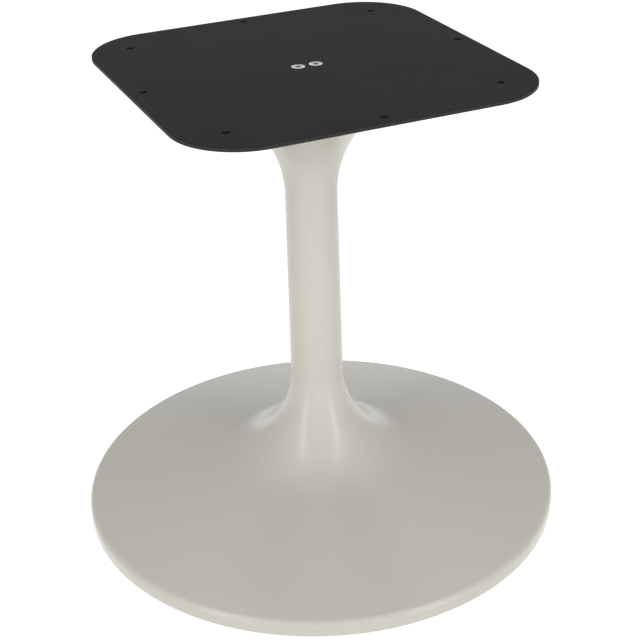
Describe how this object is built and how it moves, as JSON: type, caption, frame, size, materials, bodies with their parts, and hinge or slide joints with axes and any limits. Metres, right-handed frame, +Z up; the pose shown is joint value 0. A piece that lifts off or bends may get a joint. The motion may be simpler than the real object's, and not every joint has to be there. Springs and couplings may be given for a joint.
{
  "type": "pedestal table base",
  "caption": "Trumpet pedestal for a dining table: a hollow casting flares from a slim column into a round foot, under a square steel mounting plate.",
  "frame": {"origin": "on the floor, on the axis of the column", "axes": "+Z up along the column, X and Y along the sides of the mounting plate, with the two centre screws side by side along X"},
  "size_m": [0.7499, 0.75, 0.72],
  "materials": {
    "greige_powder_coat": "satin powder coat in warm grey on cast aluminium",
    "black_powder_coat": "fine-textured matt black powder coat on steel plate",
    "zinc_plated_steel": "bright zinc-plated steel screws",
    "black_nylon": "moulded black nylon"
  },
  "bodies": {
    "root": {"pedestal": "greige_powder_coat", "top_plate": "black_powder_coat", "plate_screw_left": "zinc_plated_steel", "plate_screw_right": "zinc_plated_steel", "floor_glide_1": "black_nylon", "floor_glide_2": "black_nylon", "floor_glide_3": "black_nylon", "floor_glide_4": "black_nylon", "floor_glide_5": "black_nylon", "floor_glide_6": "black_nylon"}
  },
  "joints": []
}
